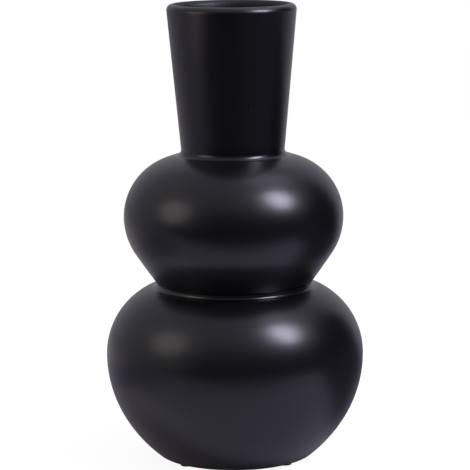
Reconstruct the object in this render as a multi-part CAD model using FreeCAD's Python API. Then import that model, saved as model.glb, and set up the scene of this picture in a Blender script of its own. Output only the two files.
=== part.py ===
# Double gourd vase in black stoneware.
#
# The vase is made in three sections: a wide lower gourd, a smaller upper gourd and a flared neck. While
# the clay is still firm but damp each section is seated on the one below. The foot of the upper section
# has a short spigot, which drops into a gallery cut in the mouth of the lower one. Wet slip glues the two,
# and a thin coil of soft clay is pressed into the groove round the outside and smoothed to a hollow curve.
# Four felt pads keep the bare foot ring off the table.
#
# Millimetres. The origin is on the axis, on the surface that the vase stands on. +Z is up.

import FreeCAD, Part
import math
import os

# Felt pads
pad_count = 4
pad_radius = 4.0
pad_thickness = 1.5
pad_edge = 0.3             # rounding of the pad's lower edge

# Foot ring
foot_radius = 51.5         # where the gourd's wall would meet the plane of the foot
foot_ring_width = 11.5
foot_recess_depth = 2.5
foot_edge = 1.2            # rounding of the ring's outer edge
recess_edge = 0.8          # rounding of the ring's inner edge
recess_corner = 1.6        # rounding in the corner of the recess

# Clay thicknesses
wall = 6.0
floor_thickness = 7.0
floor_corner = 9.0         # inside, where the wall curves into the floor
mouth_edge = 2.0           # sponged edge where a gourd's mouth opens into its hollow

# Gourds
#
# A gourd's outline is upright at its belly and closes in below and above it, each time in two arcs. The
# first share of a pair tells how far the outline has turned when it ends, from 0 for no more than it has
# to, up to 1 for level. The second tells how much of that turn the arc next to the belly takes.

# Lower gourd
lower_belly_radius = 85.3
lower_underside_rise = 67.3     # from the foot up to the belly
lower_underside_shares = (0.39, 0.588)
lower_shoulder_rise = 45.6      # from the belly up to the waist
lower_shoulder_shares = (0.918, 0.788)

# Waist, between the two gourds
waist_radius = 49.6
waist_wall = 8.1
waist_fillet = 2.0

# Upper gourd
upper_belly_radius = 72.4
upper_underside_rise = 46.2     # from the waist up to the belly
upper_underside_shares = (0.149, 0.907)
upper_shoulder_rise = 41.6      # from the belly up to the neck
upper_shoulder_shares = (0.683, 0.9215)

# Neck
neck_root_radius = 33.8
neck_root_wall = 6.2
neck_fillet = 3.0
neck_height = 97.8         # from the neck's seam to the top of the lip
mouth_radius = 42.4        # widest point of the lip
lip_thickness = 7.4

# Luted joints, alike at the waist and at the neck
slip_thickness = 0.5
gallery_depth = 2.0
coil_groove_depth = 1.5    # how deep the coil of clay is let into the walls

# Levels
foot_level = pad_thickness
lower_belly_level = foot_level + lower_underside_rise
waist_level = lower_belly_level + lower_shoulder_rise
upper_belly_level = waist_level + upper_underside_rise
neck_level = upper_belly_level + upper_shoulder_rise
top_level = neck_level + neck_height
recess_radius = foot_radius - foot_ring_width
recess_level = foot_level + foot_recess_depth
floor_level = recess_level + floor_thickness

ORIGIN = FreeCAD.Vector(0, 0, 0)
UP = FreeCAD.Vector(0, 0, 1)


def at(radius, height):
    """A point of the outline, in the plane through the axis."""
    return FreeCAD.Vector(radius, 0, height)


def toward(angle):
    """The unit vector at this angle above the outward horizontal."""
    return at(math.cos(angle), math.sin(angle))


def angle_of(vector):
    return math.atan2(vector.z, vector.x)


class Bow:
    """An arc of a wall's outline. The clay is inside it, and an inset of its points goes into the clay."""

    def __init__(self, centre, radius, start, end):
        self.centre = centre
        self.radius = radius
        self.start = start
        self.end = end

    def point(self, angle, inset=0):
        return self.centre + toward(angle) * (self.radius - inset)

    def points(self, inset=0):
        """Start, middle and end, which is how an arc is written in a chain."""
        middle = (self.start + self.end) / 2
        return [self.point(angle, inset) for angle in (self.start, middle, self.end)]

    def between(self, start, end):
        return Bow(self.centre, self.radius, start, end)

    def angle_at_height(self, height, inset=0):
        return math.asin((height - self.centre.z) / (self.radius - inset))


def quarter(belly, end, shares):
    """The two arcs of an outline that is upright at the belly and comes in to a given end.

    Both arcs are tangent where they meet. Their radii follow from the width and the rise that the two
    have to cover together.
    """
    turn_share, belly_share = shares
    width = belly.x - end.x
    rise = abs(end.z - belly.z)
    side = math.copysign(1, end.z - belly.z)
    lean = math.atan2(width, rise)
    turn = lean + turn_share * (math.pi / 2 - lean)
    least = max(0, 2 * lean - turn)
    most = min(turn, 2 * lean)
    bend = least + belly_share * (most - least)
    near_width = 1 - math.cos(bend)
    near_rise = math.sin(bend)
    far_width = math.cos(bend) - math.cos(turn)
    far_rise = math.sin(turn) - math.sin(bend)
    scale = far_width * near_rise - near_width * far_rise
    near_radius = (far_width * rise - far_rise * width) / scale
    far_radius = (near_rise * width - near_width * rise) / scale
    near = Bow(belly - at(near_radius, 0), near_radius, 0, side * bend)
    far_centre = near.point(near.end, far_radius)
    return [near, Bow(far_centre, far_radius, side * bend, side * turn)]


def gourd_bows(foot, belly, top, underside_shares, shoulder_shares):
    """The four arcs of a gourd's outside, from its foot to its top."""
    downward = quarter(belly, foot, underside_shares)
    upward = quarter(belly, top, shoulder_shares)
    return [bow.between(bow.end, bow.start) for bow in reversed(downward)] + upward


def fillet_centre_between_bows(below, above, radius):
    """Centre of the round that touches two bows from outside: it is that radius off both of them."""
    reach_below = below.radius + radius
    reach_above = above.radius + radius
    gap = above.centre - below.centre
    along = gap / gap.Length
    outward = at(along.z, -along.x)
    distance = (reach_below**2 - reach_above**2 + gap.Length**2) / (2 * gap.Length)
    offset = math.sqrt(reach_below**2 - distance**2)
    if outward.x < 0:
        offset = -offset
    return below.centre + along * distance + outward * offset


def fillet_centre_on_wall(below, wall_foot, wall_along, wall_outward, radius):
    """Centre of the round that touches a bow and the straight wall that stands on it."""
    base = wall_foot + wall_outward * radius - below.centre
    half = base.dot(wall_along)
    rise = math.sqrt(half**2 - base.dot(base) + (below.radius + radius) ** 2) - half
    return below.centre + base + wall_along * rise


def tangent_point(point, centre, radius, side):
    """Where the line from a point touches a circle. Side is 1 for the outer side and -1 for the inner."""
    back = point - centre
    turn = math.acos(radius / back.Length)
    return centre + toward(angle_of(back) + side * turn) * radius


def lathe(*chains):
    """Turns a closed outline about the axis.

    A chain is either an arc, written as its three points, or a list of corners. Straight lines run
    between corners and from each chain to the next.
    """
    edges = []
    first = chains[0][1][0]
    last = None
    for kind, points in chains:
        if last is not None and not last.isEqual(points[0], Part.Precision.confusion()):
            edges.append(Part.makeLine(last, points[0]))
        if kind == "arc":
            edges.append(Part.Arc(*points).toShape())
        else:
            edges += [Part.makeLine(a, b) for a, b in zip(points, points[1:])]
        last = points[-1]
    edges.append(Part.makeLine(last, first))
    face = Part.Face(Part.Wire(edges))
    return face.revolve(ORIGIN, UP, 360)


def arcs(bows, inset=0):
    """Bows as chains, in their own order."""
    return [("arc", bow.points(inset)) for bow in bows]


def arcs_back(bows, inset=0):
    """The same bows as chains, run from last to first."""
    return [("arc", bow.points(inset)[::-1]) for bow in reversed(bows)]


def corners(*points):
    return ("corners", list(points))


def rounded(solid, radius, level, rounding):
    """Rounds the circular edge at this radius and level."""
    edges = [
        edge
        for edge in solid.Edges
        if isinstance(edge.Curve, Part.Circle)
        and abs(edge.Curve.Radius - radius) < wall / 100
        and abs(edge.Curve.Center.z - level) < wall / 100
    ]
    return solid.makeFillet(rounding, edges)


class Joint:
    """A luted joint: the lands of the two sections, the slip between them and the coil round the outside.

    The lands are lists of corners from the coil's groove to the bore. The slip fills the space between.
    The upright step of the joint, with its slip, is in the middle of the land.
    """

    def __init__(self, level, radius, wall_here):
        low = level - slip_thickness / 2
        high = level + slip_thickness / 2
        groove = radius - coil_groove_depth
        bore = radius - wall_here
        spigot = (bore + groove - slip_thickness) / 2
        gallery = spigot + slip_thickness
        self.bore = bore
        self.lower_land = [
            at(groove, low),
            at(gallery, low),
            at(gallery, low - gallery_depth),
            at(bore, low - gallery_depth),
        ]
        self.upper_land = [
            at(groove, high),
            at(spigot, high),
            at(spigot, high - gallery_depth),
            at(bore, high - gallery_depth),
        ]

    def slip(self):
        return lathe(corners(*self.lower_land, *self.upper_land[::-1]))


class Coil:
    """The coil of clay in a joint's groove, from its edge on the lower wall to its edge on the upper."""

    def __init__(self, joint, centre, radius, lower_outward, upper_outward):
        self.joint = joint
        self.lower_edge = centre - lower_outward * radius
        self.upper_edge = centre - upper_outward * radius
        self.lower_bed = self.lower_edge - lower_outward * coil_groove_depth
        self.upper_bed = self.upper_edge - upper_outward * coil_groove_depth
        self.middle = centre - (lower_outward + upper_outward).normalize() * radius

    def solid(self):
        hollow = ("arc", [self.lower_edge, self.middle, self.upper_edge])
        bed = corners(self.upper_bed, self.joint.upper_land[0], self.joint.lower_land[0], self.lower_bed)
        return lathe(hollow, bed)


# Outlines of the three sections

lower_bows = gourd_bows(
    at(foot_radius, foot_level),
    at(lower_belly_radius, lower_belly_level),
    at(waist_radius, waist_level),
    lower_underside_shares,
    lower_shoulder_shares,
)
upper_bows = gourd_bows(
    at(waist_radius, waist_level),
    at(upper_belly_radius, upper_belly_level),
    at(neck_root_radius, neck_level),
    upper_underside_shares,
    upper_shoulder_shares,
)
lip_radius = lip_thickness / 2
lip_centre = at(mouth_radius - lip_radius, top_level - lip_radius)
neck_root = at(neck_root_radius, neck_level)
neck_outer_top = tangent_point(neck_root, lip_centre, lip_radius, 1)
neck_along = (neck_outer_top - neck_root).normalize()
neck_outward = at(neck_along.z, -neck_along.x)

# The two joints and their coils

waist_joint = Joint(waist_level, waist_radius, waist_wall)
neck_joint = Joint(neck_level, neck_root_radius, neck_root_wall)

waist_centre = fillet_centre_between_bows(lower_bows[3], upper_bows[0], waist_fillet)
lower_top_angle = angle_of((waist_centre - lower_bows[3].centre) / (lower_bows[3].radius + waist_fillet))
upper_foot_angle = angle_of((waist_centre - upper_bows[0].centre) / (upper_bows[0].radius + waist_fillet))
waist_coil = Coil(
    waist_joint, waist_centre, waist_fillet, toward(lower_top_angle), toward(upper_foot_angle)
)

neck_centre = fillet_centre_on_wall(upper_bows[3], neck_root, neck_along, neck_outward, neck_fillet)
upper_top_angle = angle_of((neck_centre - upper_bows[3].centre) / (upper_bows[3].radius + neck_fillet))
neck_coil = Coil(neck_joint, neck_centre, neck_fillet, toward(upper_top_angle), neck_outward)


def make_lower_gourd():
    """Closed at the foot, where a ring is left round a shallow recess, and open at the waist."""
    under_close, under, shoulder, shoulder_close = lower_bows
    outside = [under_close, under, shoulder, shoulder_close.between(shoulder_close.start, lower_top_angle)]
    floor_angle = under_close.angle_at_height(floor_level, wall)
    inside = [under_close.between(floor_angle, under_close.end), under, shoulder, shoulder_close]
    mouth_level = shoulder_close.point(shoulder_close.end, wall).z
    floor_radius = under_close.point(floor_angle, wall).x
    gourd = lathe(
        *arcs(outside),
        corners(waist_coil.lower_bed, *waist_joint.lower_land, at(waist_joint.bore, mouth_level)),
        *arcs_back(inside, wall),
        corners(
            at(0, floor_level),
            at(0, recess_level),
            at(recess_radius, recess_level),
            at(recess_radius, foot_level),
        ),
    )
    gourd = rounded(gourd, waist_joint.bore, mouth_level, mouth_edge)
    gourd = rounded(gourd, floor_radius, floor_level, floor_corner)
    gourd = rounded(gourd, recess_radius, recess_level, recess_corner)
    gourd = rounded(gourd, recess_radius, foot_level, recess_edge)
    return rounded(gourd, foot_radius, foot_level, foot_edge)


def make_upper_gourd():
    """Open at both ends. Its foot stands in the lower gourd's gallery, and its mouth carries the neck."""
    under_close, under, shoulder, shoulder_close = upper_bows
    outside = [
        under_close.between(upper_foot_angle, under_close.end),
        under,
        shoulder,
        shoulder_close.between(shoulder_close.start, upper_top_angle),
    ]
    mouth_level = shoulder_close.point(shoulder_close.end, wall).z
    gourd = lathe(
        *arcs(outside),
        corners(neck_coil.lower_bed, *neck_joint.lower_land, at(neck_joint.bore, mouth_level)),
        *arcs_back(upper_bows, wall),
        corners(*waist_joint.upper_land[::-1], waist_coil.upper_bed),
    )
    return rounded(gourd, neck_joint.bore, mouth_level, mouth_edge)


def make_neck():
    """A straight flared tube with a full round lip."""
    bore_foot = neck_joint.upper_land[-1]
    lip_inner = tangent_point(bore_foot, lip_centre, lip_radius, -1)
    lip_top = lip_centre + UP * lip_radius
    return lathe(
        corners(neck_coil.upper_edge, neck_outer_top),
        ("arc", [neck_outer_top, lip_top, lip_inner]),
        corners(*neck_joint.upper_land[::-1], neck_coil.upper_bed),
    )


def make_pad(angle):
    """A felt disc stuck to the foot ring, halfway across its width."""
    middle = foot_radius - foot_ring_width / 2
    centre = FreeCAD.Vector(middle * math.cos(angle), middle * math.sin(angle), 0)
    pad = Part.makeCylinder(pad_radius, pad_thickness, centre, UP)
    lower_edge = [edge for edge in pad.Edges if edge.BoundBox.ZMax < pad_edge]
    return pad.makeFillet(pad_edge, lower_edge)


def export(name, shape):
    shape.exportStep(os.path.join("parts", name + ".step"))
    print(name, "volume", round(shape.Volume), "valid", shape.isValid())


os.makedirs("parts", exist_ok=True)
export("lower_gourd", make_lower_gourd())
export("upper_gourd", make_upper_gourd())
export("neck", make_neck())
export("waist_slip", waist_joint.slip())
export("waist_coil", waist_coil.solid())
export("neck_slip", neck_joint.slip())
export("neck_coil", neck_coil.solid())
for number in range(pad_count):
    export("felt_pad_" + str(number + 1), make_pad(2 * math.pi * (number + 0.5) / pad_count))
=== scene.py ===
# %% [markdown]
# # Dressing a double gourd vase
#
# The vase is black stoneware, 300 mm tall: a wide lower gourd, a smaller upper gourd and a flared neck.
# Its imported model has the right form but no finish. This lesson gives it its skin: glazed clay with
# throwing rings inside, hollow coils in the seams, felt pads under the foot, and a satin black glaze that
# gathers in the seams and thins on the lip. A plain pale studio comes last.
#
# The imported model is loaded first. It is in metres, with the origin on the vase's axis, on the surface
# that the pads stand on, and +Z up. Its box is kept, because the dressed vase mustn't outgrow it.

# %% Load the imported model
import math

import bpy
import numpy as np
from mathutils import Matrix, Vector


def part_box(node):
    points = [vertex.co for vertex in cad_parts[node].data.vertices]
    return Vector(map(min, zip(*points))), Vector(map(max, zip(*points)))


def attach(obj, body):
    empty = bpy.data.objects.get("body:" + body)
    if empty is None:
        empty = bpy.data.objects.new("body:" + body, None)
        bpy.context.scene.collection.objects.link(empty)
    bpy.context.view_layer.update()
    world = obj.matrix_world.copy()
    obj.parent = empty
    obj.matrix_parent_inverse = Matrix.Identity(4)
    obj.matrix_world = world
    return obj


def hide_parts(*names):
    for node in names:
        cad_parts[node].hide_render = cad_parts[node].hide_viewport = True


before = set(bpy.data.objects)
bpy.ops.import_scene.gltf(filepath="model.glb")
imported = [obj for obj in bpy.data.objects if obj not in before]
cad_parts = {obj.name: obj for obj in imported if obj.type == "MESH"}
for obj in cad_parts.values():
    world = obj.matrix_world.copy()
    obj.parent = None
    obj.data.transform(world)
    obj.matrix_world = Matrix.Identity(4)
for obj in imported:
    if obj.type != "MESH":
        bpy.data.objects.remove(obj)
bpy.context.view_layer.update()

print("nodes:", ", ".join(sorted(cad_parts)))

# %% [markdown]
# ## The meridian
#
# A thrown pot is a surface of revolution, so all of its form is in one line, the meridian, which is what
# a potter checks against a rib or a template. A stretched and sculpted cylinder would only come near it,
# and its seams and lip would be vague. Here the meridian is written as arcs that touch without a kink,
# from the same sizes as the model. Sizes that the model's boxes show are read from them.

# %% Sizes of the vase
mm = 0.001

foot_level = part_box("lower_gourd")[0].z
lower_belly_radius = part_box("lower_gourd")[1].x
upper_belly_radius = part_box("upper_gourd")[1].x
mouth_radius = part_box("neck")[1].x
top_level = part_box("neck")[1].z

slip_thickness = 0.5 * mm
waist_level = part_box("waist_slip")[1].z - slip_thickness / 2
neck_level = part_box("neck_slip")[1].z - slip_thickness / 2
lower_belly_level = foot_level + 67.3 * mm
upper_belly_level = waist_level + 46.2 * mm

foot_radius = 51.5 * mm
waist_radius = 49.6 * mm
neck_root_radius = 33.8 * mm
wall = 6.0 * mm
print("belly, waist and neck levels in mm:", [
    round(1000 * level, 2) for level in (lower_belly_level, waist_level, upper_belly_level, neck_level)
])

# %% Arcs and lines
def at(radius, height):
    """A point of the meridian."""
    return np.array([radius, height])


def toward(angle):
    """The unit vector at an angle above the outward horizontal: its cosine and its sine."""
    return np.stack([np.cos(angle), np.sin(angle)], axis=-1)


class Arc:
    """A stretch of a circle. A point of it is the centre plus the radius times toward(angle)."""

    def __init__(self, centre, radius, start, end):
        self.centre = centre
        self.radius = radius
        self.start = start
        self.end = end

    def point(self, angle):
        return self.centre + self.radius * toward(angle)

    def angle_at_height(self, height):
        return math.asin((height - self.centre[1]) / self.radius)

    def between(self, start, end):
        return Arc(self.centre, self.radius, start, end)

    def back(self):
        return Arc(self.centre, self.radius, self.end, self.start)

    def set_in(self, depth):
        """The same arc a depth further in, as a wall's inner face follows its outer one."""
        return Arc(self.centre, self.radius - depth, self.start, self.end)

    def points(self, spacing):
        """Points at equal angles, no further apart than the spacing."""
        count = max(3, math.ceil(abs(self.end - self.start) * self.radius / spacing) + 1)
        return self.point(np.linspace(self.start, self.end, count))


def line(start, end, spacing):
    """Points from start to end: start plus equal shares of the way between them."""
    count = math.ceil(np.linalg.norm(end - start) / spacing) + 1
    return start + np.linspace(0, 1, max(2, count))[:, None] * (end - start)


print("a line of 10 mm, cut every 4 mm at most, has", len(line(at(0, 0), at(10, 0), 4)), "points")

# %% [markdown]
# ## The gourds' curves
#
# A gourd is upright at its belly and comes in above and below it, slowly at first and then faster, so one
# circle isn't enough. Two arcs with a common tangent follow it well. Their radii aren't typed in: the
# width and the rise that they must cover together give two equations, which are solved here.

# %% Two tangent arcs from a belly to an end
def quarter(belly, end, turn_share, belly_share):
    """The arc next to the belly and the arc that goes on to the end.

    The chord leans by the angle whose tangent is width over rise. The curve's whole turn lies between that
    and a right angle, by the first share. The second share tells how much of the turn is the first arc's.
    """
    width = belly[0] - end[0]
    rise = abs(end[1] - belly[1])
    side = math.copysign(1, end[1] - belly[1])
    lean = math.atan2(width, rise)
    turn = lean + turn_share * (math.pi / 2 - lean)
    least, most = max(0, 2 * lean - turn), min(turn, 2 * lean)
    bend = least + belly_share * (most - least)
    covers = np.array([
        [1 - math.cos(bend), math.cos(bend) - math.cos(turn)],
        [math.sin(bend), math.sin(turn) - math.sin(bend)],
    ])
    near_radius, far_radius = np.linalg.solve(covers, [width, rise])
    near = Arc(belly - at(near_radius, 0), near_radius, 0, side * bend)
    far_centre = near.point(near.end) - far_radius * toward(near.end)
    return near, Arc(far_centre, far_radius, side * bend, side * turn)


lower_belly = at(lower_belly_radius, lower_belly_level)
upper_belly = at(upper_belly_radius, upper_belly_level)
foot = at(foot_radius, foot_level)
waist = at(waist_radius, waist_level)
neck_root = at(neck_root_radius, neck_level)
lower_under, lower_foot = quarter(lower_belly, foot, turn_share=0.39, belly_share=0.588)
lower_shoulder, lower_top = quarter(lower_belly, waist, turn_share=0.918, belly_share=0.788)
upper_under, upper_foot = quarter(upper_belly, waist, turn_share=0.149, belly_share=0.907)
upper_shoulder, upper_top = quarter(upper_belly, neck_root, turn_share=0.683, belly_share=0.9215)
print("radii of the lower gourd's arcs in mm, from foot to waist:", [
    round(1000 * arc.radius, 1) for arc in (lower_foot, lower_under, lower_shoulder, lower_top)
])

# %% [markdown]
# ## The lip and the seams
#
# The neck is a straight flared tube with a full round lip, so its outside is a line that touches the lip's
# circle. In each seam a coil of soft clay was pressed in and smoothed with a round tool, which leaves a
# hollow that touches the wall below and the wall above. Its circle lies outside both walls, a coil's
# radius away from each, and that gives its centre. The hollows here are a little fuller than the packed
# model's, because the real seams run softly into the shoulders.

# %% The neck's outside and its lip
def touching(point, centre, radius, side):
    """Where the line from a point touches a circle. Side is 1 for the outer side and -1 for the inner.

    The radius to that place and the line to the point meet at a right angle, so the angle between the
    radius and the way back to the point is the one whose cosine is radius over distance.
    """
    back = point - centre
    turn = math.acos(radius / np.linalg.norm(back))
    return centre + radius * toward(math.atan2(back[1], back[0]) + side * turn)


lip_radius = 3.7 * mm
lip_centre = at(mouth_radius - lip_radius, top_level - lip_radius)
neck_outer_top = touching(neck_root, lip_centre, lip_radius, 1)
neck_along = (neck_outer_top - neck_root) / np.linalg.norm(neck_outer_top - neck_root)
neck_outward = at(neck_along[1], -neck_along[0])
print("the neck flares by", round(math.degrees(math.atan2(neck_along[0], neck_along[1])), 2), "degrees")

# %% The hollow of each coil
def angle_from(centre, point):
    """The angle of the way from a centre to a point."""
    return math.atan2(point[1] - centre[1], point[0] - centre[0])


def hollow_between(below, above, radius):
    """Centre of the circle that touches two arcs: where two wider circles round their centres cross."""
    reach_below, reach_above = below.radius + radius, above.radius + radius
    gap = above.centre - below.centre
    length = np.linalg.norm(gap)
    along = gap / length
    outward = at(along[1], -along[0])
    distance = (reach_below**2 - reach_above**2 + length**2) / (2 * length)
    offset = math.copysign(math.sqrt(reach_below**2 - distance**2), outward[0])
    return below.centre + along * distance + outward * offset


def hollow_on_wall(below, root, along, outward, radius):
    """Centre of the circle that touches an arc and the straight wall that stands on it.

    It lies a radius outside the wall's line, and as far up along it as its distance from the arc asks.
    """
    base = root + outward * radius - below.centre
    half = base @ along
    rise = math.sqrt(half**2 - base @ base + (below.radius + radius) ** 2) - half
    return below.centre + base + along * rise


waist_hollow_radius, neck_hollow_radius = 2.4 * mm, 4.0 * mm
waist_centre = hollow_between(lower_top, upper_foot, waist_hollow_radius)
neck_centre = hollow_on_wall(upper_top, neck_root, neck_along, neck_outward, neck_hollow_radius)
lower_top_angle = angle_from(lower_top.centre, waist_centre)
upper_foot_angle = angle_from(upper_foot.centre, waist_centre)
upper_top_angle = angle_from(upper_top.centre, neck_centre)
print("centres of the hollows in mm:", np.round(1000 * waist_centre, 2), np.round(1000 * neck_centre, 2))

# %% The joints behind the coils
groove_depth = 1.5 * mm
step_height = 2.0 * mm


def lands(level, radius, wall_here):
    """The stepped faces of the two sections of a joint, from the coil's groove to the bore, and the bore."""
    low, high = level - slip_thickness / 2, level + slip_thickness / 2
    groove, bore = radius - groove_depth, radius - wall_here
    spigot = (bore + groove - slip_thickness) / 2
    gallery = spigot + slip_thickness
    deep_low, deep_high = low - step_height, high - step_height
    lower = np.array([[groove, low], [gallery, low], [gallery, deep_low], [bore, deep_low]])
    upper = np.array([[groove, high], [spigot, high], [spigot, deep_high], [bore, deep_high]])
    return lower, upper, bore


waist_wall, neck_wall = 8.1 * mm, 6.2 * mm
waist_lower_land, waist_upper_land, waist_bore = lands(waist_level, waist_radius, waist_wall)
neck_lower_land, neck_upper_land, neck_bore = lands(neck_level, neck_root_radius, neck_wall)


def hollow_of(centre, radius, lower_outward, upper_outward):
    """A coil's hollow, from the wall below to the wall above, and the two ends of its bed in the groove."""
    start = math.atan2(-lower_outward[1], -lower_outward[0])
    end = math.atan2(-upper_outward[1], -upper_outward[0])
    hollow = Arc(centre, radius, start % (2 * math.pi), end % (2 * math.pi))
    beds = [hollow.point(angle) - outward * groove_depth
            for angle, outward in ((hollow.start, lower_outward), (hollow.end, upper_outward))]
    return hollow, *beds


waist_hollow, waist_lower_bed, waist_upper_bed = hollow_of(
    waist_centre, waist_hollow_radius, toward(lower_top_angle), toward(upper_foot_angle)
)
neck_hollow, neck_lower_bed, neck_upper_bed = hollow_of(
    neck_centre, neck_hollow_radius, toward(upper_top_angle), neck_outward
)
print("widths of the coils in mm:", [
    round(1000 * np.ptp(hollow.points(0.1 * mm)[:, 1]), 2) for hollow in (waist_hollow, neck_hollow)
])

# %% [markdown]
# ## Skin on the meridian
#
# The form is the same all round, but the skin isn't: glaze gathers in a seam and draws thin over a lip,
# the foot is wiped bare, and the potter's fingers leave a spiral of rings inside, where nobody smooths
# them. Each point of a meridian therefore carries three more numbers: how much glaze lies on it, how far
# it takes part in the unevenness outside, and how far in the rings inside. On the open wall the glaze
# counts as 1. Inside, where it was poured out again, a little less stays.

# %% Stretches of a meridian with their skin
def travelled(points):
    """The way travelled from the first point to each one: the sum of the lengths of the steps between."""
    steps = np.linalg.norm(np.diff(points, axis=0), axis=1)
    return np.concatenate([[0], np.cumsum(steps)])


def eased(x):
    """From 0 to 1 without a kink, as 3 x squared minus 2 x cubed."""
    x = np.clip(x, 0, 1)
    return x * x * (3 - 2 * x)


gather_reach = 2.5 * mm
ring_fade = 12.0 * mm
gathered_glaze, drained = 1.6, 0.95


def skin(points, glaze=1.0, sway=0.0, rings=0.0):
    """Columns radius, height, glaze, unevenness and rings for a stretch of the meridian."""
    extra = [np.broadcast_to(value, len(points)) for value in (glaze, sway, rings)]
    return np.column_stack([points, *extra])


def outer_skin(points):
    """Glazed and a little uneven. The glaze gathers at a seam's edge, by an exponential of the distance."""
    edges = [seam.point(angle) for seam in (waist_hollow, neck_hollow) for angle in (seam.start, seam.end)]
    distance = [np.hypot(*(points - edge).T) for edge in edges]
    gathered = np.exp(-np.min(distance, axis=0) / gather_reach)
    return skin(points, 1 + (gathered_glaze - 1) * gathered, sway=1.0)


def inner_skin(points):
    """Glazed, with rings that fade towards both ends of the stretch."""
    way = travelled(points)
    fade = eased(way / ring_fade) * eased((way[-1] - way) / ring_fade)
    return skin(points, drained, rings=fade)


def joined(*stretches):
    """One meridian, with the points that two stretches share kept once."""
    profile = np.vstack(stretches)
    keep = np.linalg.norm(np.diff(profile[:, :2], axis=0), axis=1) > 1e-3 * mm
    return profile[np.concatenate([[True], keep])]


at_seam = outer_skin(waist_hollow.point(waist_hollow.start)[None])
print("at the waist seam the glaze is", at_seam[0, 2].round(2), "times as thick as elsewhere")

# %% The unevenness that a hand leaves
sway_depth = 0.06 * mm
ring_depth = 0.22 * mm
ring_pitch = 6.0 * mm
spare = 0.02 * mm
slow_waves = ((2, 41, 0.3), (3, -67, 1.9), (5, 23, 4.0))  # waves a turn, radians a metre up, start


def fired(angle, profile):
    """Radius, height and glaze of every vertex, for all angles at once.

    Outside, the radius gives way by a mean of three slow sines round and along the vase. Inside, the wall
    gives way along its normal by a cosine whose phase is one turn per ring pitch of the meridian minus one
    turn per turn of the vase, which is a spiral.
    """
    radius, height, glaze, sway, rings = profile.T
    way = travelled(profile[:, :2])
    tangent = np.gradient(profile[:, :2], way, axis=0)
    normal = np.stack([tangent[:, 1], -tangent[:, 0]]) / np.linalg.norm(tangent, axis=1)
    waves = sum(np.sin(turns * angle + climb * height + start) for turns, climb, start in slow_waves) / 3
    spiral = np.cos(2 * math.pi * way / ring_pitch - angle)
    inward = sway * (spare + sway_depth * (1 + waves) / 2)
    groove = rings * ring_depth * (1 + spiral) / 2
    shape = np.broadcast_shapes(angle.shape, radius.shape)
    return (
        radius - inward - groove * normal[0],
        height - groove * normal[1],
        np.broadcast_to(glaze, shape),
    )


print(f"outside, the skin gives way by up to {1000 * (spare + sway_depth):.2f} mm")
print(f"inside, the rings are {1000 * ring_depth:.2f} mm deep and {1000 * ring_pitch:.0f} mm apart")

# %% [markdown]
# ## Turning a meridian into a mesh
#
# A Screw modifier turns a curve as well, but it can't vary the surface round the axis or carry the glaze's
# thickness. With numpy the whole surface is one grid: its rows are angles and its columns are points of
# the meridian. The clay lies on the left of each meridian as it runs, so every face points outwards. The
# volume that a mesh encloses is a good test of that: it comes out negative if the faces point inwards.

# %% The surface of revolution
turn_steps = 240


def turned(profile, form=fired, steps=turn_steps):
    """Points, faces and glaze of a meridian turned about the Z axis.

    Point (i, j) is point j of the meridian at i steps of the full turn, so it is (radius cos, radius sin,
    height). A meridian that ends on the axis has one point there, with a fan of triangles round it.
    """
    angle = np.linspace(0, 2 * math.pi, steps, endpoint=False)[:, None]
    radius, height, glaze = form(angle, profile)
    points = np.stack([radius * np.cos(angle), radius * np.sin(angle), height], axis=-1)
    on_axis = profile[0, 0] == 0
    columns = slice(1, -1) if on_axis else slice(None)
    body = points[:, columns]
    here = np.arange(body.shape[0] * body.shape[1]).reshape(body.shape[:2])
    beside = np.roll(here, -1, axis=0)
    if not on_axis:
        quads = np.stack([here, beside, np.roll(beside, -1, axis=1), np.roll(here, -1, axis=1)], axis=-1)
        return body.reshape(-1, 3), quads.reshape(-1, 4).tolist(), glaze.ravel()
    quads = np.stack([here[:, :-1], beside[:, :-1], beside[:, 1:], here[:, 1:]], axis=-1)
    first, last = np.full(steps, here.size), np.full(steps, here.size + 1)
    fans = np.concatenate([
        np.stack([first, beside[:, 0], here[:, 0]], axis=-1),
        np.stack([here[:, -1], beside[:, -1], last], axis=-1),
    ])
    ends = np.stack([points[0, 0], points[0, -1]])
    return (
        np.concatenate([body.reshape(-1, 3), ends]),
        quads.reshape(-1, 4).tolist() + fans.tolist(),
        np.concatenate([glaze[:, columns].ravel(), glaze[0, [0, -1]]]),
    )


drum_outline = skin(np.array([[0, 0], [10, 0], [10, 10], [0, 10]]) * mm)
drum_points, drum_faces, _ = turned(drum_outline, steps=12)
print("a drum of 12 steps has", len(drum_points), "points and", len(drum_faces), "faces")

# %% The object that carries it
def enclosed(mesh):
    """The volume inside a closed mesh: a sixth of the sum of a . (b x c) over its triangles."""
    mesh.calc_loop_triangles()
    corners = np.empty(3 * len(mesh.loop_triangles), dtype=np.int32)
    mesh.loop_triangles.foreach_get("vertices", corners)
    points = np.empty(3 * len(mesh.vertices))
    mesh.vertices.foreach_get("co", points)
    a, b, c = np.moveaxis(points.reshape(-1, 3)[corners.reshape(-1, 3)], 1, 0)
    return np.einsum("ij,ij->", a, np.cross(b, c)) / 6


drum = bpy.data.meshes.new("drum")
drum.from_pydata(drum_points.tolist(), [], drum_faces)
print(f"the drum holds {enclosed(drum) * 1e6:.2f} cm3, so its faces point outwards")
bpy.data.meshes.remove(drum)


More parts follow.
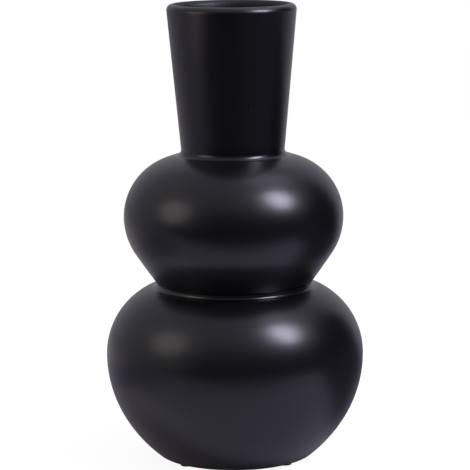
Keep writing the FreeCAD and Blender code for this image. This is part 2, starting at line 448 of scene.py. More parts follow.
def piece(name, node, slot, points, faces, glaze=None, sharp=40):
    """A smooth-shaded object for a CAD node, riding on the root body, with glaze as a vertex attribute."""
    mesh = bpy.data.meshes.new(name)
    mesh.from_pydata(points.tolist(), [], faces)
    mesh.shade_smooth()
    mesh.set_sharp_from_angle(angle=math.radians(sharp))
    if glaze is not None:
        thickness = mesh.attributes.new("glaze", "FLOAT", "POINT")
        thickness.data.foreach_set("value", np.ascontiguousarray(glaze))
    thing = bpy.data.objects.new(name, mesh)
    bpy.context.scene.collection.objects.link(thing)
    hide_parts(node)
    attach(thing, "root")
    low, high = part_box(node)
    outgrown = max(*(low - Vector(points.min(axis=0))), *(Vector(points.max(axis=0)) - high))
    print(f"{name}: {enclosed(mesh) * 1e6:.2f} cm3, {len(mesh.loop_triangles)} triangles,"
          f" outside its node's box by {max(0, 1000 * outgrown):.3f} mm")
    return thing

# %% [markdown]
# ## The lower gourd
#
# This section was thrown closed at the foot and trimmed upside down, which left a ring round a shallow
# recess. The wall is the outside's arcs set inwards by its thickness. Its corners are rounded as a sponge
# or a tool rounds them: each round is a circle that touches an arc and a level or upright line, so one of
# its centre's coordinates is known and the other follows from the distance to the arc's centre.

# %% Rounds between an arc and a straight line
down, right, left = -math.pi / 2, 0, math.pi
mouth_rounding = 2.0 * mm


def round_on_level(arc, reach, height):
    """The centre at this height whose distance from the arc's centre is the reach."""
    return at(arc.centre[0] + math.sqrt(reach**2 - (height - arc.centre[1]) ** 2), height)


def round_on_upright(arc, reach, radius):
    """The centre at this radius whose distance from the arc's centre is the reach."""
    return at(radius, arc.centre[1] + math.sqrt(reach**2 - (radius - arc.centre[0]) ** 2))


def mouth_round(top_arc, bore):
    """The sponged edge of a gourd's mouth, from the bore to the arc of the wall's inner face."""
    inner = top_arc.set_in(wall)
    centre = round_on_upright(inner, inner.radius + mouth_rounding, bore + mouth_rounding)
    return Arc(centre, mouth_rounding, left, left + angle_from(inner.centre, centre))


print("the mouths' edges are rounded by", round(1000 * mouth_rounding, 1), "mm")

# %% The lower gourd's meridian
ring_width, recess_depth, floor_thickness = 11.5 * mm, 2.5 * mm, 7.0 * mm
recess_corner, recess_edge, foot_edge, floor_corner = 1.6 * mm, 0.8 * mm, 1.2 * mm, 9.0 * mm

recess_radius = foot_radius - ring_width
recess_level = foot_level + recess_depth
floor_level = recess_level + floor_thickness
recess_centre = at(recess_radius - recess_corner, recess_level - recess_corner)
recess_round = Arc(recess_centre, recess_corner, math.pi / 2, right)
ring_centre = at(recess_radius + recess_edge, foot_level + recess_edge)
ring_round = Arc(ring_centre, recess_edge, left, 1.5 * math.pi)
foot_centre = round_on_level(lower_foot, lower_foot.radius - foot_edge, foot_level + foot_edge)
foot_round = Arc(foot_centre, foot_edge, down, angle_from(lower_foot.centre, foot_centre))

inner_foot = lower_foot.set_in(wall)
floor_centre = round_on_level(inner_foot, inner_foot.radius - floor_corner, floor_level + floor_corner)
floor_round = Arc(floor_centre, floor_corner, angle_from(inner_foot.centre, floor_centre), down)
lower_mouth = mouth_round(lower_top, waist_bore)
lower_mouth_angle = angle_from(lower_top.centre, lower_mouth.centre)
print("the inner floor lies", round(1000 * floor_level, 1), "mm above the table")

# %% The lower gourd's skin
in_bore, worn = 0.9, 0.8
fine, inner_spacing, seam_spacing, lower_spacing = 0.2 * mm, 1.2 * mm, 0.8 * mm, 1.1 * mm

recess_points = recess_round.points(0.3 * mm)
foot_points = foot_round.points(fine)
fine_band = 6.0 * mm
band_end = lower_foot.angle_at_height(foot_level + fine_band)
lower_profile = joined(
    skin(line(at(0, recess_level), recess_points[0], 2.5 * mm), drained),
    skin(recess_points, np.linspace(drained, 0.1, len(recess_points))),
    skin(ring_round.points(fine), 0),
    skin(line(ring_round.point(ring_round.end), foot_round.point(down), 1.0 * mm), 0),
    skin(foot_points, 0, sway=np.linspace(0, 1, len(foot_points))),
    outer_skin(lower_foot.between(foot_round.end, band_end).points(fine)),
    outer_skin(lower_foot.between(band_end, lower_foot.start).points(lower_spacing)),
    outer_skin(lower_under.back().points(lower_spacing)),
    outer_skin(lower_shoulder.points(lower_spacing)),
    outer_skin(lower_top.between(lower_top.start, lower_top_angle).points(seam_spacing)),
    skin(np.vstack([waist_lower_bed, waist_lower_land]), 0),
    skin(line(waist_lower_land[-1], lower_mouth.point(left), 0.5 * mm), in_bore),
    skin(lower_mouth.points(0.3 * mm), worn),
    inner_skin(np.vstack([
        lower_top.set_in(wall).between(lower_mouth_angle, lower_top.start).points(inner_spacing),
        lower_shoulder.set_in(wall).back().points(inner_spacing)[1:],
        lower_under.set_in(wall).points(inner_spacing)[1:],
        inner_foot.between(lower_foot.start, floor_round.start).points(inner_spacing)[1:],
        floor_round.points(0.9 * mm)[1:],
        line(floor_round.point(down), at(0, floor_level), inner_spacing)[1:],
    ])),
)
print("the lower gourd's meridian has", len(lower_profile), "points")

# %% The wiped foot
glaze_thickness = 0.15 * mm
wiped_height = 0.12 * mm
bead_height, bead_width = 0.8 * mm, 0.5 * mm


def wiped(angle, profile):
    """The fired skin, with the ring's face wiped clean, up to a wavy line at its outer edge.

    Below the line the radius gives way by the glaze's thickness. Just above it the glaze has drawn
    together in a bead, which is a bell curve of the height above the line.
    """
    radius, height, glaze = fired(angle, profile)
    wavy = 0.03 * np.sin(3 * angle + 1) + 0.02 * np.sin(8 * angle) * np.sin(angle)
    above = height - foot_level - wiped_height - wavy * mm
    outer = (profile[:, 3] > 0) & (height < foot_level + fine_band)
    covered = np.where(outer, eased(above / bead_width), 1)
    bead = np.where(outer, np.exp(-(((above - bead_height) / bead_width) ** 2)), 0)
    return radius - glaze_thickness * (1 - covered - 0.3 * bead), height, glaze * covered + 0.4 * bead


lower_gourd = piece("gourd_lower", "lower_gourd", "black_glaze", *turned(lower_profile, wiped))

# %% [markdown]
# ## The upper gourd and the neck
#
# The upper gourd is open at both ends. Its foot has a short spigot that stands in the lower gourd's
# gallery, and its mouth has a gallery for the neck. The neck is drawn up as a tube, and its lip is rolled
# between wet finger and thumb, so the glaze later slides off the crest and lies thinner there. All three
# could be one mesh, but a potter joins them as separate sections, and so each is turned by itself.

# %% The upper gourd
upper_mouth = mouth_round(upper_top, neck_bore)
upper_mouth_angle = angle_from(upper_top.centre, upper_mouth.centre)
upper_spacing = 1.0 * mm
upper_profile = joined(
    outer_skin(upper_foot.between(upper_foot_angle, upper_foot.start).points(upper_spacing)),
    outer_skin(upper_under.back().points(upper_spacing)),
    outer_skin(upper_shoulder.points(upper_spacing)),
    outer_skin(upper_top.between(upper_top.start, upper_top_angle).points(seam_spacing)),
    skin(np.vstack([neck_lower_bed, neck_lower_land]), 0),
    skin(line(neck_lower_land[-1], upper_mouth.point(left), 0.5 * mm), in_bore),
    skin(upper_mouth.points(0.3 * mm), worn),
    inner_skin(np.vstack([
        upper_top.set_in(wall).between(upper_mouth_angle, upper_top.start).points(inner_spacing),
        upper_shoulder.set_in(wall).back().points(inner_spacing)[1:],
        upper_under.set_in(wall).points(inner_spacing)[1:],
        upper_foot.set_in(wall).points(inner_spacing)[1:],
    ])),
    skin(np.vstack([waist_upper_land[::-1], waist_upper_bed]), 0),
)
upper_gourd = piece("gourd_upper", "upper_gourd", "black_glaze", *turned(upper_profile))

# %% The neck
crest_depth = 1.6 * mm


def over_the_lip(points):
    """Glaze thins by a quarter over the crest, as a bell curve of the depth below the top."""
    return 1 - 0.25 * np.exp(-(((top_level - points[:, 1]) / crest_depth) ** 2))


bore_foot = neck_upper_land[-1]
lip_inner = touching(bore_foot, lip_centre, lip_radius, -1)
lip_start = angle_from(lip_centre, neck_outer_top)
lip_end = angle_from(lip_centre, lip_inner) % (2 * math.pi)
lip = Arc(lip_centre, lip_radius, lip_start, lip_end)
lip_points = lip.points(0.25 * mm)
lip_sway = np.linspace(1, 0, len(lip_points))
neck_profile = joined(
    outer_skin(line(neck_hollow.point(neck_hollow.end), neck_outer_top, 1.0 * mm)),
    skin(lip_points, over_the_lip(lip_points), sway=lip_sway),
    inner_skin(line(lip_inner, bore_foot, 0.9 * mm)),
    skin(np.vstack([neck_upper_land[::-1], neck_upper_bed]), 0),
)
neck = piece("neck_and_lip", "neck", "black_glaze", *turned(neck_profile))

# %% [markdown]
# ## The coils in the seams
#
# Each coil fills its groove and ends in a hollow that is tangent to both walls. A torus pushed into the
# groove would leave a crack on each side of it, so the coil is turned from its own section. Its outer
# edges take the same unevenness as the walls, and no gap opens between them. Glaze runs down into the
# hollow and gathers, which makes it glossier there and gives the thin bright ring round the waist.

# %% The two coils
def coil(name, node, hollow, lower_bed, upper_bed, lower_land, upper_land):
    """A coil's piece: its hollow face outside, and its bed in the groove between the two sections."""
    profile = joined(
        skin(hollow.points(0.15 * mm), gathered_glaze, sway=1.0),
        skin(np.vstack([upper_bed, upper_land[0], lower_land[0], lower_bed]), 0),
    )
    return piece(name, node, "black_glaze", *turned(profile))


waist_coil = coil("seam_at_waist", "waist_coil", waist_hollow, waist_lower_bed, waist_upper_bed,
                  waist_lower_land, waist_upper_land)
neck_coil = coil("seam_at_neck", "neck_coil", neck_hollow, neck_lower_bed, neck_upper_bed,
                 neck_lower_land, neck_upper_land)

# %% [markdown]
# ## The felt pads
#
# Four discs of needle felt keep the bare ring off the table. Felt is a mat of short fibres with no weave,
# cut by a die, so a pad has a napped face and loose fibres along its cut side. A plain disc would read as
# rubber, and a hair system isn't a mesh. Here the body is turned like the pot, with its surface moved by
# short waves in many directions, and a few hundred fibres are laid on it, worked out as one array.

# %% A pad's body
pad_radius, pad_edge, pad_top = 4.0 * mm, 0.3 * mm, foot_level
nap_depth, nap_waves, pad_steps = 0.05 * mm, 30, 90
shortest_wave, longest_wave = 0.5 * mm, 2.2 * mm


def nap(points, generator):
    """Round one half: a sum of sines over space, each with its own direction, wavelength and phase.

    Such a sum spreads by the root of half the number of sines. Here that is brought down to a quarter.
    """
    direction = generator.normal(size=(nap_waves, 3))
    direction /= np.linalg.norm(direction, axis=1, keepdims=True)
    wave = 2 * math.pi / generator.uniform(shortest_wave, longest_wave, size=(nap_waves, 1))
    phase = generator.uniform(0, 2 * math.pi, size=nap_waves)
    sines = np.sin(points @ (direction * wave).T + phase)
    return 0.5 + sines.sum(axis=-1) / (4 * math.sqrt(nap_waves / 2))


def pad_body(centre, generator):
    """A disc with a rounded lower edge, turned and then moved to its place on the foot ring."""
    edge = Arc(at(pad_radius - pad_edge, pad_edge), pad_edge, down, right)
    profile = joined(
        skin(line(at(0, 0), edge.point(down), 0.2 * mm)),
        skin(edge.points(0.08 * mm)),
        skin(line(edge.point(right), at(pad_radius, pad_top), 0.15 * mm)),
        skin(line(at(pad_radius, pad_top), at(0, pad_top), 0.4 * mm)),
    )
    points, faces, _ = turned(profile, steps=pad_steps)
    inward = np.stack([points[:, 0], points[:, 1], points[:, 2] - pad_top / 2], axis=-1)
    inward *= -nap_depth / np.linalg.norm(inward, axis=1, keepdims=True)
    points = points + inward * np.clip(nap(points, generator), 0, 1)[:, None]
    return points + centre, faces


print(f"the pads are {2000 * pad_radius:.0f} mm across, with a nap {1000 * nap_depth:.2f} mm deep")

# %% Loose fibres
fibre_count, fibre_rings, fibre_corners = 320, 6, 3
fibre_radius, tip_taper = 0.014 * mm, 0.6
fibre_lengths, fibre_bends = (0.4, 1.1), (-0.6, 0.6)  # in millimetres, and as shares of the length
side_share, lift = 0.5, 0.25  # fibres on the cut side, and how far a fibre stands off the pad


def fibres(count, centre, generator):
    """Thin three-sided threads that start on the pad and lie along it.

    A thread's line is its start, plus t times its length along its direction, plus t squared times a bend,
    for t from 0 to 1. Round it stand three corners a radius away, on two vectors square to its direction.
    """
    around = generator.uniform(0, 2 * math.pi, count)
    on_side = generator.random(count) < side_share
    radius = np.where(on_side, pad_radius, pad_radius * np.sqrt(generator.random(count)))
    height = np.where(on_side, generator.uniform(0.1, 0.95, count) * pad_top, 0.04 * mm)
    out = np.stack([np.cos(around), np.sin(around), np.zeros(count)], axis=-1)
    up = np.array([0, 0, 1.0])
    start = out * radius[:, None] + up * height[:, None]
    normal = np.where(on_side[:, None], out, -up)
    direction = generator.normal(size=(count, 3))
    direction -= normal * ((direction * normal).sum(axis=1) - lift)[:, None]
    direction /= np.linalg.norm(direction, axis=1, keepdims=True)
    length = generator.uniform(*fibre_lengths, count)[:, None] * mm
    bend = np.cross(direction, normal) * generator.uniform(*fibre_bends, (count, 1)) * length

    t = np.linspace(0, 1, fibre_rings)[None, :, None]
    middle = start[:, None] + t * (length * direction)[:, None] + t**2 * bend[:, None]
    across = np.cross(direction, normal)
    across /= np.linalg.norm(across, axis=1, keepdims=True)
    other = np.cross(direction, across)
    corner = 2 * math.pi * np.arange(fibre_corners) / fibre_corners
    ring = np.cos(corner)[:, None] * across[:, None] + np.sin(corner)[:, None] * other[:, None]
    thickness = fibre_radius * (1 - tip_taper * t)
    points = middle[:, :, None] + thickness[..., None] * ring[:, None]
    points[..., 2] = np.clip(points[..., 2], 0.004 * mm, pad_top - 0.02 * mm)

    here = np.arange(count * fibre_rings * fibre_corners).reshape(count, fibre_rings, fibre_corners)
    beside = np.roll(here, -1, axis=2)
    sides = np.stack([here[:, :-1], beside[:, :-1], beside[:, 1:], here[:, 1:]], axis=-1)
    tips = np.concatenate([here[:, 0, ::-1], here[:, -1]])
    return points.reshape(-1, 3) + centre, sides.reshape(-1, 4).tolist() + tips.tolist()


print(f"each pad gets {fibre_count} fibres, {2000 * fibre_radius:.3f} mm thick at the root")

# %% The four pads
pads = []
for number in range(1, 5):
    node = f"felt_pad_{number}"
    low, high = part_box(node)
    centre = np.array([(low.x + high.x) / 2, (low.y + high.y) / 2, 0])
    generator = np.random.default_rng(number)
    points, faces = pad_body(centre, generator)
    hairs, hair_faces = fibres(fibre_count, centre, generator)
    faces += [[corner + len(points) for corner in face] for face in hair_faces]
    pad = piece(f"felt_{number}", node, "felt", np.concatenate([points, hairs]), faces, sharp=60)
    pads.append(pad)

# %% [markdown]
# ## Writing materials as sums
#
# A finish is a sum of patterns: clouds, specks, how thick the glaze is. It could be painted on a picture,
# but that needs an unwrapped mesh and blurs up close, while procedural patterns stay sharp. Drawn as nodes,
# though, such sums are hard to read. The class Wire stands for a socket and knows the arithmetic signs, so
# that 1 - glaze * 0.5 adds its Math nodes by itself. Recipe adds every other kind of node: its settings
# first, then its sockets.

# %% Wires
def operator(operation, swapped=False):
    """The method behind an arithmetic sign. Swapped is for a number on the sign's left side."""
    def apply(self, other):
        first, second = (other, self) if swapped else (self, other)
        return self.recipe.node("ShaderNodeMath", {"operation": operation}, {0: first, 1: second})
    return apply


class Wire:
    """An output socket that can stand in a sum."""

    __add__, __radd__ = operator("ADD"), operator("ADD", swapped=True)
    __sub__, __rsub__ = operator("SUBTRACT"), operator("SUBTRACT", swapped=True)
    __mul__, __rmul__ = operator("MULTIPLY"), operator("MULTIPLY", swapped=True)
    __pow__, __rpow__ = operator("POWER"), operator("POWER", swapped=True)

    def __init__(self, recipe, socket):
        self.recipe = recipe
        self.socket = socket


print("a wire knows the signs + - * and **")

# %% Recipes
class Recipe:
    """The node tree of a material or of the world, emptied and written anew."""

    def __init__(self, owner):
        owner.use_nodes = True
        self.tree = owner.node_tree
        self.tree.nodes.clear()

    def node(self, kind, settings=None, sockets=None, output=0):
        """Adds a node, sets its settings, then gives its sockets their values or links."""
        node = self.tree.nodes.new(kind)
        for name, value in (settings or {}).items():
            setattr(node, name, value)
        for name, value in (sockets or {}).items():
            if isinstance(value, Wire):
                self.tree.links.new(value.socket, node.inputs[name])
            else:
                node.inputs[name].default_value = value
        return Wire(self, node.outputs[output]) if node.outputs else node

    def step(self, value, low, high):
        """From 0 at low to 1 at high, without a kink. Low may be the larger one."""
        return self.node("ShaderNodeMapRange", {"interpolation_type": "SMOOTHSTEP"}, {
            "Value": value, "From Min": low, "From Max": high,
        })

    def cloud(self, place, scale, detail=2.0, roughness=0.5):
        """Soft noise round one half, with this many waves to the metre."""
        return self.node("ShaderNodeTexNoise", None, {
            "Vector": place, "Scale": scale, "Detail": detail, "Roughness": roughness,
        })

    def relief(self, height, depth):
        """A normal that leans with the height's slope. Depth is how high a height of 1 stands."""
        return self.node("ShaderNodeBump", None, {"Strength": 1.0, "Distance": depth, "Height": height})

    def mixed(self, share, first, second):
        """The first colour where the share is 0, the second where it is 1."""
        return self.node("ShaderNodeMix", {"data_type": "RGBA"}, {0: share, 6: first, 7: second}, output=2)

    def finish(self, surface, kind="ShaderNodeOutputMaterial"):
        """The output node, which shows the surface."""
        self.node(kind, None, {"Surface": surface})

    def parts(self, vector):
        """The x, y and z of a vector."""
        separated = self.node("ShaderNodeSeparateXYZ", None, {"Vector": vector})
        return [Wire(self, socket) for socket in separated.socket.node.outputs]


def material(name):
    """A new material and the recipe that fills it."""
    made = bpy.data.materials.new(name)
    return made, Recipe(made)


trial, recipe = material("trial")
last = (1 - recipe.node("ShaderNodeValue") * 0.5).socket.node
print("1 - wire * 0.5 makes", len(recipe.tree.nodes), "nodes, and the last one's job is", last.operation)
bpy.data.materials.remove(trial)

# %% [markdown]
# ## Satin black glaze
#
# A satin glaze is glass full of crystals too small to see. They blur its reflections, so what makes it
# look right is its roughness and what it mirrors, more than its colour, which is close to black. Up close
# it is cloudy, with a faint orange peel and a few specks of kiln dust. Where it runs thin, over the lip
# and along the wiped foot, the iron in it shows brown, and bare clay is buff. Inside, where it was poured
# out again, it is drier. A wall is an inside one if its normal leans towards the axis, so that place times
# normal, summed over x and y, is negative. The pattern comes from Object coordinates and the thickness
# from the attribute that the meshes carry.

# %% The glaze's patterns
glazed, recipe = material("satin_black_glaze")
place = recipe.node("ShaderNodeTexCoord", output=3)
thickness = recipe.node("ShaderNodeAttribute", {"attribute_name": "glaze"}, output=2)

clouds = recipe.cloud(place, 24, detail=3)
peel = recipe.cloud(place, 420, detail=1)
crystals = recipe.cloud(place, 3200, detail=1)
grit = recipe.cloud(place, 1500, detail=3, roughness=0.7)

covered = recipe.step(thickness + (peel - 0.5) * 0.3, 0.3, 0.55)
thin = recipe.step(thickness + (clouds - 0.5) * 0.25, 1.0, 0.6)
gathered = recipe.step(thickness, 1.1, 1.5)
print("the glaze's patterns take", len(recipe.tree.nodes), "nodes")

# %% Specks of kiln dust
speck_cells, speck_share = 260.0, 0.045  # cells to the metre, and the share of them with a speck
cells = {"Vector": place, "Scale": speck_cells}
distance = recipe.node("ShaderNodeTexVoronoi", None, cells, output=0)
lottery = recipe.node("ShaderNodeTexVoronoi", None, cells, output=1)
chosen = recipe.step(recipe.parts(lottery)[0], 0.995 - speck_share, 1.005 - speck_share)
speck = chosen * recipe.step(distance, 0.10, 0.05)
print(f"about one cell in {1 / speck_share:.0f} has a speck, and a cell is {1000 / speck_cells:.1f} mm wide")

# %% The glaze's colour
normal = recipe.node("ShaderNodeNewGeometry", output=1)
(x, y, _), (across, back, _) = recipe.parts(place), recipe.parts(normal)
inside_wall = recipe.step(x * across + y * back, 0.0, -0.012)

black, brown = (0.0028, 0.0027, 0.0031, 1), (0.0340, 0.0280, 0.0255, 1)
dust, buff, iron = (0.085, 0.090, 0.105, 1), (0.36, 0.275, 0.20, 1), (0.10, 0.055, 0.035, 1)

glaze_colour = recipe.mixed(thin * (1 - inside_wall) * 0.7, black, brown)
glaze_colour = recipe.mixed(speck * 0.8, glaze_colour, dust)
clay_colour = recipe.mixed(recipe.step(grit, 0.62, 0.72), buff, iron)
print("with its colours it has", len(recipe.tree.nodes), "nodes")

# %% The glaze itself
def dress(things, finish):
    """Puts the finish on the things, and nothing else."""
    for thing in things:
        thing.data.materials.clear()
        thing.data.materials.append(finish)


satin, dry_clay, relief_depth = 0.315, 0.88, 0.03 * mm
glaze_roughness = satin + (clouds - 0.5) * 0.08 + (peel - 0.5) * 0.04
glaze_roughness = glaze_roughness + thin * 0.05 - gathered * 0.06 + inside_wall * 0.22
bumps = covered * (peel * 0.6 + crystals * 0.06 + speck * 1.2) + (1 - covered) * grit * 1.5
surface = recipe.node("ShaderNodeBsdfPrincipled", None, {
    "Base Color": recipe.mixed(covered, clay_colour, glaze_colour),
    "Roughness": covered * glaze_roughness + (1 - covered) * dry_clay,
    "IOR": 1.5,
    "Normal": recipe.relief(bumps, relief_depth),
})
recipe.finish(surface)
dress([lower_gourd, upper_gourd, neck, waist_coil, neck_coil], glazed)
print("the glaze has", len(recipe.tree.nodes), "nodes")

# %% [markdown]
# ## Fired slip and felt
#
# Slip is the same clay as the vase, let down with water. Fired, it is matt and brown, a shade darker than
# the body, with fine grit in it. Its rings show only as a line inside the bore. The model's own solids
# are right for that, so they keep their form.
#
# The felt is charcoal wool. No two fibres take the dye alike, so its colour is a fine mottle, and its
# fuzz catches light at a slant, which is what the sheen is for.

# %% Fired slip
slip, recipe = material("fired_slip")
place = recipe.node("ShaderNodeTexCoord", output=3)
wash = recipe.cloud(place, 90, detail=3)
grain = recipe.cloud(place, 2400, detail=3, roughness=0.7)
dark_slip, pale_slip = (0.13, 0.088, 0.062, 1), (0.19, 0.135, 0.1, 1)
slip_colour = recipe.mixed(wash, dark_slip, pale_slip)
surface = recipe.node("ShaderNodeBsdfPrincipled", None, {
    "Base Color": recipe.mixed(recipe.step(grain, 0.6, 0.75), slip_colour, iron),
    "Roughness": 0.82 + (grain - 0.5) * 0.2,
    "Normal": recipe.relief(grain, relief_depth),
})
recipe.finish(surface)
for name in ("waist_slip", "neck_slip"):
    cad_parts[name].material_slots[0].material = slip
print("the fired slip has", len(recipe.tree.nodes), "nodes")

# %% Felt
felt, recipe = material("charcoal_felt")
place = recipe.node("ShaderNodeTexCoord", output=3)
tangle = recipe.cloud(place, 2600, detail=4, roughness=0.75)
tuft = recipe.cloud(place, 700, detail=2)
dyed = recipe.step(tangle + (tuft - 0.5) * 0.4, 0.35, 0.7)
dark_wool, pale_wool, wool_depth = (0.018, 0.017, 0.017, 1), (0.06, 0.057, 0.055, 1), 0.08 * mm
surface = recipe.node("ShaderNodeBsdfPrincipled", None, {
    "Base Color": recipe.mixed(dyed, dark_wool, pale_wool),
    "Roughness": 0.9 + (tuft - 0.5) * 0.1,
    "Sheen Weight": 0.35,
    "Sheen Roughness": 0.5,
    "Normal": recipe.relief(tangle, wool_depth),
})
recipe.finish(surface)
dress(pads, felt)
print("the felt has", len(recipe.tree.nodes), "nodes")

# %% [markdown]
# ## The studio
#
# A black satin pot shows little but what stands round it. Spots would burn small hard points into it, and
# a panorama picture couldn't be altered part by part, so it is lit by area lamps in a room that is drawn
# below. A cool softbox near its right shoulder is the key light, and a weak warm one on its left and a
# faint cool one above fill in. They are ovals, and so are their reflections on the bellies.

# %% Softboxes
def softbox(name, centre, aim, wide, tall, radiance, colour):
    """An oval area lamp. An even oval sends out pi times its area times its radiance, in watts."""
    lamp = bpy.data.lights.new(name, "AREA")
    lamp.shape = "ELLIPSE"
    lamp.size = wide
    lamp.size_y = tall
    lamp.color = colour
    lamp.energy = math.pi * (math.pi * wide * tall / 4) * radiance
    thing = bpy.data.objects.new(name, lamp)
    thing.location = centre
    thing.rotation_euler = (Vector(aim) - Vector(centre)).to_track_quat("-Z", "Y").to_euler()
    thing.visible_camera = False
    bpy.context.scene.collection.objects.link(thing)
    print(name, "gives", round(lamp.energy, 2), "W")


softbox("key_softbox", (0.432, -0.272, 0.590), aim=(0.03, -0.06, 0.14), wide=0.24, tall=0.34,
        radiance=19.4, colour=(0.83, 0.815, 1.0))
softbox("warm_softbox", (-0.363, -0.189, 0.308), aim=(-0.05, -0.05, 0.14), wide=0.24, tall=0.24,
        radiance=1.45, colour=(1.0, 0.88, 0.88))
softbox("top_softbox", (0.230, 0.045, 0.740), aim=(0.0, 0.0, 0.14), wide=0.35, tall=0.35,
        radiance=1.12, colour=(0.88, 0.87, 1.0))

# %% [markdown]
# ## The table
#
# The camera sees a plain pale floor: most of its white glows, so that no lamp has to burn the pot to get
# there, and the rest is painted and keeps the pot's soft shadow. The glaze mirrors more. On the pale
# table a dark cloth lies on the right, painted paler close to the pot, which is painted light. A painted
# shadow of the pot crosses the left, and close by on the left lies a painted pool of light. Further back
# the paper is whiter, partly as painted light that lifts the far table and the pot's shadow on the
# left-back, and far off the table glows with painted light. Each of them could be an object, but one floor
# is simpler to soften at the edges. So they are drawn in its material, as products of steps over the
# place in metres, and what is dark, and the far glow, is so for mirrored rays alone.

# %% Rays and places
def rays(recipe):
    """Two wires, which are 1 for a ray from the camera and for a mirrored one."""
    outputs = recipe.node("ShaderNodeLightPath").socket.node.outputs
    return Wire(recipe, outputs["Is Camera Ray"]), Wire(recipe, outputs["Is Glossy Ray"])


def toward_side(x, y, degrees):
    """How far a place lies in a level direction, counted from +X: x times cosine plus y times sine."""
    angle = math.radians(degrees)
    return x * math.cos(angle) + y * math.sin(angle)


pale, recipe = material("pale_table")
to_camera, mirrored = rays(recipe)
place = recipe.node("ShaderNodeTexCoord", output=3)
x, y, _ = recipe.parts(place)
from_axis = x * x + y * y  # the square of the distance
slant = y - x * 0.8  # grows towards the left and the back
print("a place 2 m to the right is", round(toward_side(2, 0, 60), 2), "m towards 60 degrees")

# %% The dark cloth
near_part = recipe.step(toward_side(x, y, 72.4), -0.035, 0.05) * recipe.step(x, 0.02, 0.09)
near_depth = 0.6 + recipe.step(toward_side(x, y, -35), 0.054, 0.104) * 0.4
far_part = recipe.step(x, 0.33, 0.38)
far_depth = 0.6 + recipe.step(y, -0.2, -0.05) * 0.4
cloth = recipe.step(near_part * near_depth + far_part * far_depth, 0, 1)
# Close to the pot the cloth is painted paler: painted light.
painted_light_at_pot = recipe.step(from_axis, 0.062, 0.032) * 0.1
cloth = cloth * recipe.step(slant, 0.2, 0.02) * recipe.step(from_axis, 0.9, 0.5) * (1 - painted_light_at_pot)
print("with the cloth the table has", len(recipe.tree.nodes), "nodes")

# %% The painted shadow and the table's front edge
# A painted shadow of the pot: a band across the left of the table, dark for mirrored rays only.
shadow_strip_middle, shadow_strip_depth = -0.035, 0.55
off_shadow_strip = y - shadow_strip_middle
shadow_strip = recipe.step(x, -0.15, -0.24) * recipe.step(x, -0.8, -0.45)
shadow_strip = shadow_strip * recipe.step(off_shadow_strip * off_shadow_strip, 0.03, 0.002)
table = recipe.step(y - x * 0.12, -0.40, -0.18) * (1 - cloth) * (1 - shadow_strip * shadow_strip_depth)
print("with the strip it has", len(recipe.tree.nodes), "nodes")

# %% The table's colours
dark_paper, pale_paper, unlit = (0.648, 0.63, 0.70, 1), (0.688, 0.67, 0.74, 1), (0.05, 0.05, 0.053, 1)
# Painted light: the first of these whites partly, the second wholly.
white_paper_and_light_colour, painted_light_pool_white = (0.98, 0.95, 0.87, 1), (0.81, 0.79, 0.82, 1)
no_light, far_light = (0, 0, 0, 1), (0.12, 0.115, 0.118, 1)

# Whiter paper behind, partly painted light that lifts the far table and the pot's shadow on the left-back.
white_paper_and_light = recipe.step(y, 0.15, 0.3) * recipe.step(slant, 0.2, 0.5) * (1 - recipe.step(x, -0.5, -1.0) * 0.5)
# A painted pool of light on the table, close to the pot on the left.
painted_light_pool = recipe.step(from_axis, 0.050, 0.026) * recipe.step(x, 0.02, -0.08) * recipe.step(y * y, 0.018, 0.004)
# Far behind, the table glows with painted light, seen only in the glaze.
far = recipe.step(y, 0.3, 1.1) * recipe.step(x, -0.9, -0.3) * mirrored
shade = recipe.mixed(recipe.cloud(place, 6, detail=2), dark_paper, pale_paper)
shade = recipe.mixed(white_paper_and_light, shade, white_paper_and_light_colour)
shade = recipe.mixed(painted_light_pool, shade, painted_light_pool_white)
shade = recipe.mixed(mirrored * (1 - table), shade, unlit)
glow = recipe.mixed(far, no_light, far_light)
print("with its colours it has", len(recipe.tree.nodes), "nodes")

# %% The floor
def flat(name, corners, finish):
    """A single flat face of the stage."""
    mesh = bpy.data.meshes.new(name)
    mesh.from_pydata(corners, [], [tuple(range(len(corners)))])
    mesh.materials.append(finish)
    thing = bpy.data.objects.new(name, mesh)
    bpy.context.scene.collection.objects.link(thing)
    print("the", name, "wears", finish.name)
    return thing


painted_share, white_glow = 0.3, 1.28
floor_left, floor_right, floor_front, floor_back = -8, 8, -6, 10
matt = {"Roughness": 1.0, "Specular IOR Level": 0.0}
seen_in_glaze = recipe.node("ShaderNodeBsdfPrincipled", None, {
    "Base Color": shade, "Emission Color": glow, "Emission Strength": 1.0, **matt,
})
painted = recipe.node("ShaderNodeBsdfDiffuse", None, {"Color": (0.9, 0.9, 0.9, 1)})
white = recipe.node("ShaderNodeEmission", None, {"Color": (1, 1, 1, 1), "Strength": white_glow})
backdrop = recipe.node("ShaderNodeMixShader", None, {0: painted_share, 1: white, 2: painted})
surface = recipe.node("ShaderNodeMixShader", None, {0: to_camera, 1: seen_in_glaze, 2: backdrop})
recipe.finish(surface)
flat("floor", [
    (floor_left, floor_front, 0), (floor_right, floor_front, 0),
    (floor_right, floor_back, 0), (floor_left, floor_back, 0),
], pale)

# %% [markdown]
# ## The card and the room
#
# A dark card stands close on the right and gives the dark band that sets off the pot's right edge. It is
# lighter at its foot, where the table shines on it. Only the glaze sees it, and it throws no shadow.
#
# The room is dark in front and paler above and behind. It is cooler on the right, and a dark doorway is
# there. Walls could be built, but they would shade the lamps. So the world draws the room from the
# direction of each ray: x, y and z are that direction's parts. The length of its level part is the root
# of 1 less z squared, and x and y are divided by that where only the compass direction counts. Mirrored
# rays see the room. The others take an even fill, so that its dark parts cost no light.

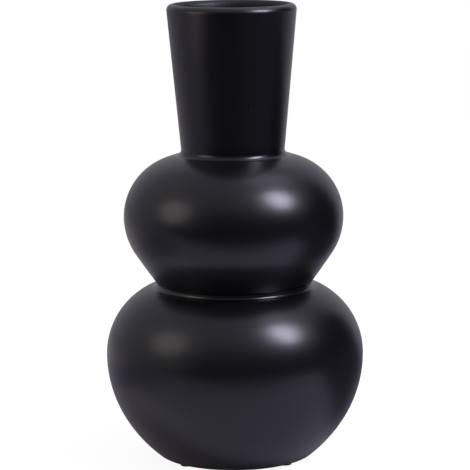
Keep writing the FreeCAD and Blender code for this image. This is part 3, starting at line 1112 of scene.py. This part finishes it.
# %% The dark card
black_card, recipe = material("black_card")
place = recipe.node("ShaderNodeTexCoord", output=3)
shine = recipe.step(recipe.parts(place)[2], 0.15, 0.04) * 0.9 + recipe.cloud(place, 300) * 0.1
dark_card, shone_card = (0.006, 0.006, 0.007, 1), (0.18, 0.175, 0.185, 1)
surface = recipe.node("ShaderNodeBsdfPrincipled", None, {
    "Base Color": recipe.mixed(shine, dark_card, shone_card), **matt,
})
recipe.finish(surface)
near, back, near_top, back_top = (0.253, -0.038), (0.205, 0.130), 0.28, 0.19
card = flat("card", [(*near, 0), (*back, 0), (*back, back_top), (*near, near_top)], black_card)
card.visible_camera = False
card.visible_diffuse = False
card.visible_shadow = False

# %% How light the room is
room = bpy.data.worlds.new("studio_room")
bpy.context.scene.world = room
recipe = Recipe(room)
to_camera, mirrored = rays(recipe)
x, y, z = recipe.parts(recipe.node("ShaderNodeTexCoord", output=0))

front_light, ceiling_light, left_light, wall_light = 0.035, 0.45, 0.08, 0.27
raised = recipe.step(z, 0.1, 1.0)
pale_side = recipe.step(toward_side(x, y, 129), -0.35, 0.15)
behind = recipe.step(y, 0.3, 1.0) * (0.19 + recipe.step(x, -0.3, 0.3) * 0.055)
leftward = recipe.step(x, -0.3, -0.75) * recipe.step(y, 0.75, 0.2)
seen = front_light + raised * ceiling_light + leftward * left_light
seen = seen + pale_side * (1 - raised) * (wall_light + behind)

one_over_level = (1.001 - z * z) ** -0.5  # 1.001 keeps it finite straight up
doorway = recipe.step(toward_side(x, y, 18) * one_over_level, 0.86, 0.95) * recipe.step(z, 0.70, 0.50)
seen = seen * (1 - doorway)
print("the room's lightness takes", len(recipe.tree.nodes), "nodes")

# %% The room's colour
fill, warm_tint, cool_tint, pure_white = 0.42, (1.0, 0.96, 1.02, 1), (0.97, 0.94, 1.14, 1), (1, 1, 1, 1)
level = mirrored * seen + (1 - mirrored) * fill
cool = recipe.step(x + y * 0.6, -0.9, -0.1) * (1 - recipe.step(y, 0.75, 0.95) * recipe.step(z, 0.5, 0.2))
tinted = recipe.mixed(level, no_light, recipe.mixed(cool, warm_tint, cool_tint))
surface = recipe.node("ShaderNodeBackground", None, {
    "Color": recipe.mixed(to_camera, tinted, pure_white),
    "Strength": 1.0,
})
recipe.finish(surface, "ShaderNodeOutputWorld")
print("with its colours the room has", len(recipe.tree.nodes), "nodes")

# %% [markdown]
# ## The camera
#
# The photograph was taken from 1.4 m away with a long lens, a little above the lip and looking slightly
# down. That was worked out from the vase's two edges and from how far its rings sag in the picture. The
# camera leans by half a degree, so its three axes are written out rather than its angles.

# %% The camera
aim = Vector((0.00082, 0, 0.1476))
distance = 1.4275
pitch = math.radians(10.0)
roll = math.radians(-0.57)
forward = Vector((0, math.cos(pitch), -math.sin(pitch)))
camera_place = aim - forward * distance
level_up = Vector((0, math.sin(pitch), math.cos(pitch)))
sideways = Vector((1, 0, 0)) * math.cos(roll) + level_up * math.sin(roll)
upward = level_up * math.cos(roll) - Vector((1, 0, 0)) * math.sin(roll)

lens = bpy.data.cameras.new("camera")
lens.sensor_width = 36.0
lens.lens = 165.55
lens.clip_end = 40.0
camera = bpy.data.objects.new("camera", lens)
axes = Matrix((sideways, upward, -forward)).transposed()
camera.matrix_world = Matrix.Translation(camera_place) @ axes.to_4x4()
bpy.context.scene.collection.objects.link(camera)
bpy.context.scene.camera = camera
bpy.context.scene.view_settings.view_transform = "Standard"
print("the camera is", round(camera_place.length, 3), "m from the foot")
